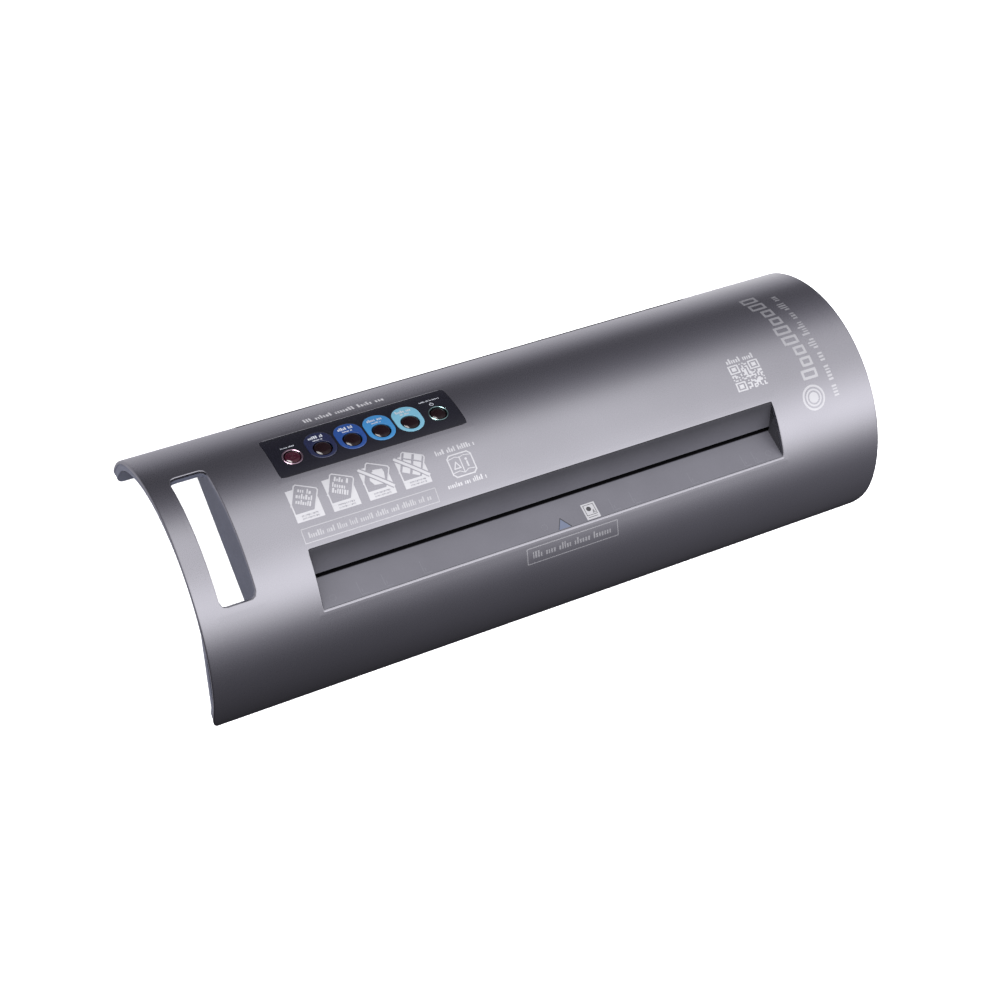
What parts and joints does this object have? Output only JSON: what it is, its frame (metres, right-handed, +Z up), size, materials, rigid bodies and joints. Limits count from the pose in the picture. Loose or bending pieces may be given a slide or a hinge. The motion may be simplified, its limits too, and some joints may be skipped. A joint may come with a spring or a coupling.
{
  "type": "pouch laminator",
  "caption": "Arched desktop pouch laminator with a carry slot at one end, a recessed feed slot and a curved panel of domed push buttons.",
  "frame": {"origin": "centre of the footprint, on the table the rubber feet stand on", "axes": "+X along the machine away from the carry slot, +Y from the user to the exit side, +Z up"},
  "size_m": [0.505, 0.1812, 0.0928],
  "materials": {
    "cover_paint": "satin gunmetal metallic paint on moulded plastic",
    "guide_plastic": "fine-textured grey plastic",
    "panel_gloss": "gloss near-black",
    "button_black": "gloss black dome",
    "button_red": "gloss dark red dome",
    "lens_blue_1": "navy",
    "lens_blue_2": "royal blue",
    "lens_blue_3": "azure",
    "lens_blue_4": "light cyan",
    "ring_metal": "thin bright ring",
    "circuit_board": "green solder mask",
    "black_plastic": "satin black",
    "base_plastic": "bluish dark grey, fine texture",
    "foot_rubber": "matte",
    "plate_steel": "zinc plated sheet",
    "bright_steel": "plated",
    "roller_steel": "ground bar",
    "sleeve_silicone": "red-brown silicone",
    "gear_plastic": "natural acetal",
    "heater_aluminium": "extruded",
    "heater_mica": "mica strip",
    "motor_can": "pressed steel can",
    "blade_brass": "plain"
  },
  "bodies": {
    "housing": {"base_tray": "base_plastic", "board_components": "black_plastic", "board_screws": "bright_steel", "board_standoffs": "black_plastic", "bracket_spacers": "bright_steel", "button_rings": "ring_metal", "chassis_screws": "bright_steel", "control_board": "circuit_board", "control_panel": "panel_gloss", "cover_screws": "bright_steel", "entry_guide": "guide_plastic", "exit_guide": "guide_plastic", "gear_motor": "motor_can", "heat_shield": "plate_steel", "heater_strips": "heater_mica", "idler_axle": "bright_steel", "inlet_blades": "blade_brass", "left_end_panel": "base_plastic", "left_side_plate": "plate_steel", "lower_heater_plate": "heater_aluminium", "motor_bracket": "plate_steel", "motor_screws": "bright_steel", "power_board": "circuit_board", "power_inlet": "black_plastic", "pressure_springs": "bright_steel", "right_end_panel": "base_plastic", "right_side_plate": "plate_steel", "roller_bushes": "gear_plastic", "rubber_feet": "foot_rubber", "setting_lens_1": "lens_blue_1", "setting_lens_2": "lens_blue_2", "setting_lens_3": "lens_blue_3", "setting_lens_4": "lens_blue_4", "tact_switches": "black_plastic", "thermal_fuse": "black_plastic", "thermostat": "bright_steel", "tie_rod_screws": "bright_steel", "tie_rods": "bright_steel", "top_cover": "cover_paint", "upper_heater_plate": "heater_aluminium"},
    "reverse_button": {"reverse_button": "button_red"},
    "setting_button_1": {"setting_button_1": "button_black"},
    "setting_button_2": {"setting_button_2": "button_black"},
    "setting_button_3": {"setting_button_3": "button_black"},
    "setting_button_4": {"setting_button_4": "button_black"},
    "power_button": {"power_button": "button_black"},
    "lower_feed_roller": {"lower_feed_core": "roller_steel", "lower_feed_sleeve": "sleeve_silicone", "lower_feed_gear": "gear_plastic"},
    "upper_feed_roller": {"upper_feed_core": "roller_steel", "upper_feed_sleeve": "sleeve_silicone", "upper_feed_gear": "gear_plastic"},
    "lower_press_roller": {"lower_press_core": "roller_steel", "lower_press_sleeve": "sleeve_silicone", "lower_press_gear": "gear_plastic"},
    "upper_press_roller": {"upper_press_core": "roller_steel", "upper_press_sleeve": "sleeve_silicone", "upper_press_gear": "gear_plastic"},
    "idler": {"idler_gear": "gear_plastic"},
    "pinion": {"motor_pinion": "gear_plastic"}
  },
  "joints": [
    {"name": "reverse_button_press", "type": "slide", "parent": "housing", "child": "reverse_button", "axis": [0, -0.4617, -0.887], "range_m": [0, 0.0008], "stiffness_N_per_m": 400, "springref_m": -0.002},
    {"name": "setting_button_1_press", "type": "slide", "parent": "housing", "child": "setting_button_1", "axis": [0, -0.4617, -0.887], "range_m": [0, 0.0008], "stiffness_N_per_m": 400, "springref_m": -0.002},
    {"name": "setting_button_2_press", "type": "slide", "parent": "housing", "child": "setting_button_2", "axis": [0, -0.4617, -0.887], "range_m": [0, 0.0008], "stiffness_N_per_m": 400, "springref_m": -0.002},
    {"name": "setting_button_3_press", "type": "slide", "parent": "housing", "child": "setting_button_3", "axis": [0, -0.4617, -0.887], "range_m": [0, 0.0008], "stiffness_N_per_m": 400, "springref_m": -0.002},
    {"name": "setting_button_4_press", "type": "slide", "parent": "housing", "child": "setting_button_4", "axis": [0, -0.4617, -0.887], "range_m": [0, 0.0008], "stiffness_N_per_m": 400, "springref_m": -0.002},
    {"name": "power_button_press", "type": "slide", "parent": "housing", "child": "power_button", "axis": [0, -0.4617, -0.887], "range_m": [0, 0.0008], "stiffness_N_per_m": 400, "springref_m": -0.002},
    {"name": "lower_feed_spin", "type": "hinge", "parent": "housing", "child": "lower_feed_roller", "pos_m": [0, -0.00947, 0.05655], "axis": [1, 0, 0], "continuous": true},
    {"name": "upper_feed_spin", "type": "hinge", "parent": "housing", "child": "upper_feed_roller", "pos_m": [0, -0.00495, 0.07232], "axis": [1, 0, 0], "continuous": true},
    {"name": "lower_press_spin", "type": "hinge", "parent": "housing", "child": "lower_press_roller", "pos_m": [0, 0.02514, 0.04663], "axis": [1, 0, 0], "continuous": true},
    {"name": "upper_press_spin", "type": "hinge", "parent": "housing", "child": "upper_press_roller", "pos_m": [0, 0.02966, 0.06239], "axis": [1, 0, 0], "continuous": true},
    {"name": "idler_spin", "type": "hinge", "parent": "housing", "child": "idler", "pos_m": [0, 0.00534, 0.04288], "axis": [1, 0, 0], "continuous": true},
    {"name": "pinion_spin", "type": "hinge", "parent": "housing", "child": "pinion", "pos_m": [0, 0.00534, 0.02473], "axis": [1, 0, 0], "continuous": true}
  ],
  "couplings": [
    {"joint": "upper_feed_spin", "follows": "lower_feed_spin", "ratio": -1},
    {"joint": "lower_press_spin", "follows": "lower_feed_spin", "ratio": 1},
    {"joint": "upper_press_spin", "follows": "lower_feed_spin", "ratio": -1},
    {"joint": "idler_spin", "follows": "lower_feed_spin", "ratio": -0.66667},
    {"joint": "pinion_spin", "follows": "lower_feed_spin", "ratio": 1.3333}
  ]
}
